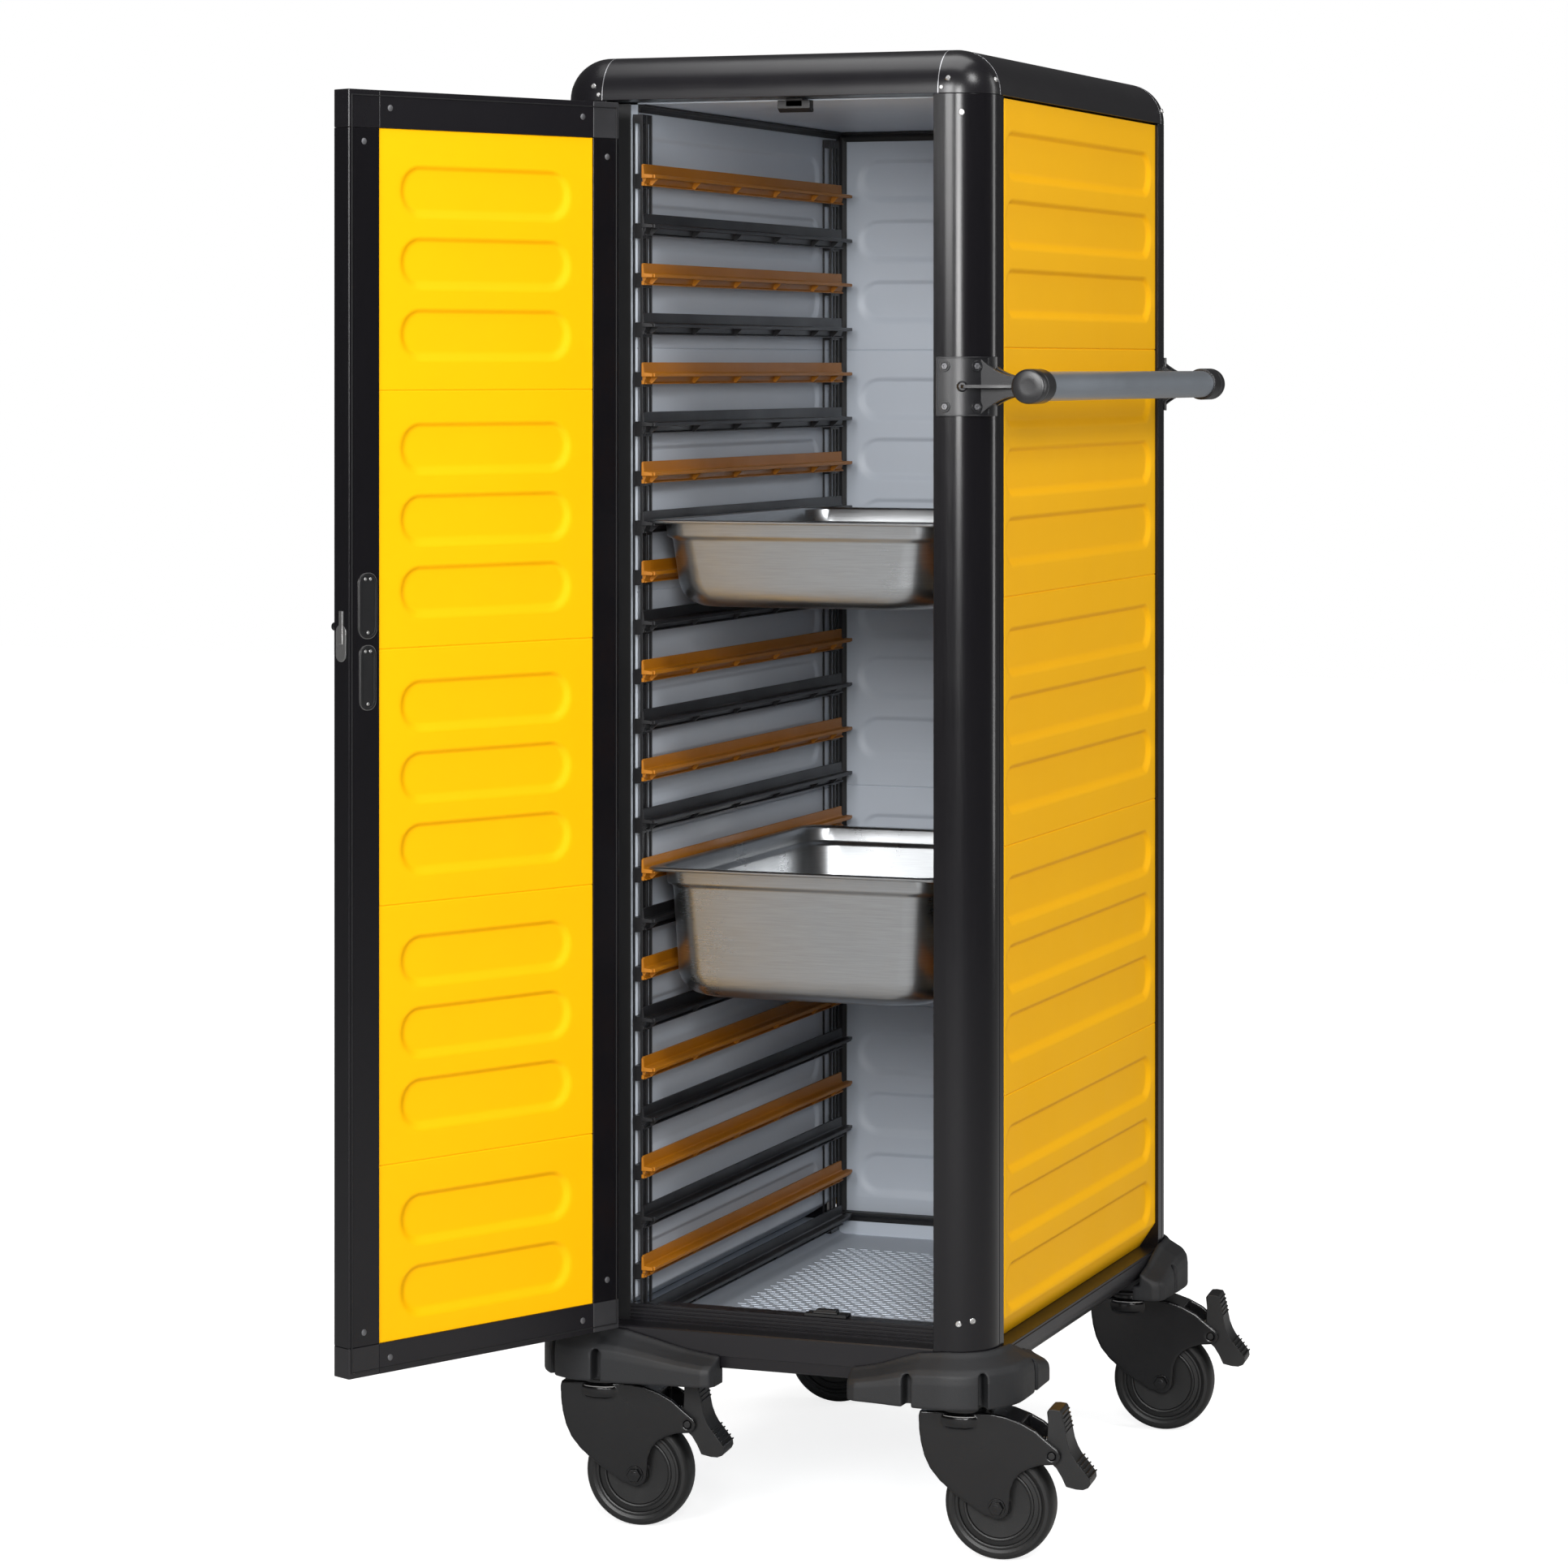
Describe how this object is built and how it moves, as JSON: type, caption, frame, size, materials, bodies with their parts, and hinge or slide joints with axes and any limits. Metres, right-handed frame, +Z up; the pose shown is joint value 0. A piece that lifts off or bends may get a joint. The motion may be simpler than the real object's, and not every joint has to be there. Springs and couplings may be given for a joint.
{
  "type": "insulated food carrier",
  "caption": "Tall insulated food carrier on swivel casters, with a hinged insulated door, runner racks on both side walls, lift-in pans and a side push handle.",
  "frame": {"origin": "on the floor, under the middle of the whole object's box with the door open as stored", "axes": "+Z up, -Y out of the door opening, +X towards the side with the push handle"},
  "size_m": [0.7358, 1.1677, 1.683],
  "materials": {
    "black_aluminium": "black anodised, semi-gloss",
    "yellow_panel": "moulded, fine satin",
    "grey_liner": "moulded, satin",
    "bumper_rubber": "matt",
    "runner_plastic": "moulded, satin",
    "satin_aluminium": "satin anodised",
    "stainless_steel": "brushed",
    "wheel_rubber": "matt tread, semi-gloss hub",
    "seal_rubber": "soft, matt",
    "black_steel": "black powder coat, glossy",
    "black_plastic": "moulded, semi-gloss"
  },
  "bodies": {
    "cabinet": {"post_front_left": "black_aluminium", "top_cap_front_left": "black_aluminium", "bumper_front_left": "bumper_rubber", "post_front_right": "black_aluminium", "top_cap_front_right": "black_aluminium", "bumper_front_right": "bumper_rubber", "post_rear_left": "black_aluminium", "top_cap_rear_left": "black_aluminium", "bumper_rear_left": "bumper_rubber", "post_rear_right": "black_aluminium", "top_cap_rear_right": "black_aluminium", "bumper_rear_right": "bumper_rubber", "top_rail_front": "black_aluminium", "top_rail_rear": "black_aluminium", "top_rail_left": "black_aluminium", "top_rail_right": "black_aluminium", "bottom_rail_left": "black_aluminium", "bottom_rail_right": "black_aluminium", "bottom_rail_rear": "black_aluminium", "front_sill": "black_aluminium", "side_panel_left": "yellow_panel", "side_panel_right": "yellow_panel", "back_panel": "yellow_panel", "roof_panel": "black_aluminium", "floor_panel": "grey_liner", "header_catch": "black_plastic", "sill_catch": "black_plastic", "runner_rack_left": "runner_plastic", "runner_rack_right": "runner_plastic", "handle_bar": "satin_aluminium", "handle_bracket_front": "black_plastic", "handle_bracket_rear": "black_plastic", "door_hinge_upper": "black_aluminium", "door_hinge_lower": "black_aluminium"},
    "door": {"door_frame": "black_aluminium", "door_panel": "yellow_panel", "door_seal": "seal_rubber", "latch_cover_plate": "black_plastic", "lock_cover_plate": "black_plastic"},
    "latch_handle": {"latch_handle": "black_plastic"},
    "latch_bolt": {"latch_bolt": "stainless_steel"},
    "pan_shallow": {"pan_shallow": "stainless_steel"},
    "pan_deep": {"pan_deep": "stainless_steel"},
    "caster_front_left": {"caster_fork_front_left": "black_steel", "caster_axle_front_left": "stainless_steel"},
    "wheel_front_left": {"caster_wheel_front_left": "wheel_rubber"},
    "pedal_front_left": {"caster_pedal_front_left": "black_plastic"},
    "caster_front_right": {"caster_fork_front_right": "black_steel", "caster_axle_front_right": "stainless_steel"},
    "wheel_front_right": {"caster_wheel_front_right": "wheel_rubber"},
    "pedal_front_right": {"caster_pedal_front_right": "black_plastic"},
    "caster_rear_left": {"caster_fork_rear_left": "black_steel", "caster_axle_rear_left": "stainless_steel"},
    "wheel_rear_left": {"caster_wheel_rear_left": "wheel_rubber"},
    "pedal_rear_left": {"caster_pedal_rear_left": "black_plastic"},
    "caster_rear_right": {"caster_fork_rear_right": "black_steel", "caster_axle_rear_right": "stainless_steel"},
    "wheel_rear_right": {"caster_wheel_rear_right": "wheel_rubber"},
    "pedal_rear_right": {"caster_pedal_rear_right": "black_plastic"}
  },
  "joints": [
    {"name": "door_swing", "type": "hinge", "parent": "cabinet", "child": "door", "pos_m": [-0.1949, -0.2182, 0.9], "axis": [0, 0, 1], "range_deg": [-64, 116]},
    {"name": "latch_turn", "type": "hinge", "parent": "door", "child": "latch_handle", "pos_m": [-0.35105, -0.55204, 1.048], "axis": [-0.8988, 0.4384, 0], "range_deg": [-90, 0]},
    {"name": "latch_bolt_slide", "type": "slide", "parent": "door", "child": "latch_bolt", "axis": [0.4384, 0.8988, 0], "range_m": [-0.0085, 0]},
    {"name": "pan_shallow_slide", "type": "slide", "parent": "cabinet", "child": "pan_shallow", "axis": [0, 1, 0], "range_m": [-0.4, 0]},
    {"name": "pan_deep_slide", "type": "slide", "parent": "cabinet", "child": "pan_deep", "axis": [0, 1, 0], "range_m": [-0.4, 0]},
    {"name": "swivel_front_left", "type": "hinge", "parent": "cabinet", "child": "caster_front_left", "pos_m": [-0.2134, -0.1632, 0.17], "axis": [0, 0, 1], "continuous": true},
    {"name": "roll_front_left", "type": "hinge", "parent": "caster_front_left", "child": "wheel_front_left", "pos_m": [-0.17163, -0.15881, 0.0625], "axis": [-0.1045, 0.9945, 0], "continuous": true},
    {"name": "brake_front_left", "type": "hinge", "parent": "caster_front_left", "child": "pedal_front_left", "pos_m": [-0.10997, -0.15233, 0.123], "axis": [-0.1045, 0.9945, 0], "range_deg": [0, 12]},
    {"name": "swivel_front_right", "type": "hinge", "parent": "cabinet", "child": "caster_front_right", "pos_m": [0.2206, -0.1632, 0.17], "axis": [0, 0, 1], "continuous": true},
    {"name": "roll_front_right", "type": "hinge", "parent": "caster_front_right", "child": "wheel_front_right", "pos_m": [0.26237, -0.15881, 0.0625], "axis": [-0.1045, 0.9945, 0], "continuous": true},
    {"name": "brake_front_right", "type": "hinge", "parent": "caster_front_right", "child": "pedal_front_right", "pos_m": [0.32403, -0.15233, 0.123], "axis": [-0.1045, 0.9945, 0], "range_deg": [0, 12]},
    {"name": "swivel_rear_left", "type": "hinge", "parent": "cabinet", "child": "caster_rear_left", "pos_m": [-0.2134, 0.5048, 0.17], "axis": [0, 0, 1], "continuous": true},
    {"name": "roll_rear_left", "type": "hinge", "parent": "caster_rear_left", "child": "wheel_rear_left", "pos_m": [-0.17163, 0.50919, 0.0625], "axis": [-0.1045, 0.9945, 0], "continuous": true},
    {"name": "brake_rear_left", "type": "hinge", "parent": "caster_rear_left", "child": "pedal_rear_left", "pos_m": [-0.10997, 0.51567, 0.123], "axis": [-0.1045, 0.9945, 0], "range_deg": [0, 12]},
    {"name": "swivel_rear_right", "type": "hinge", "parent": "cabinet", "child": "caster_rear_right", "pos_m": [0.2206, 0.5048, 0.17], "axis": [0, 0, 1], "continuous": true},
    {"name": "roll_rear_right", "type": "hinge", "parent": "caster_rear_right", "child": "wheel_rear_right", "pos_m": [0.26237, 0.50919, 0.0625], "axis": [-0.1045, 0.9945, 0], "continuous": true},
    {"name": "brake_rear_right", "type": "hinge", "parent": "caster_rear_right", "child": "pedal_rear_right", "pos_m": [0.32403, 0.51567, 0.123], "axis": [-0.1045, 0.9945, 0], "range_deg": [0, 12]}
  ],
  "couplings": [
    {"joint": "latch_bolt_slide", "follows": "latch_turn", "m_per_rad": 0.005411}
  ]
}
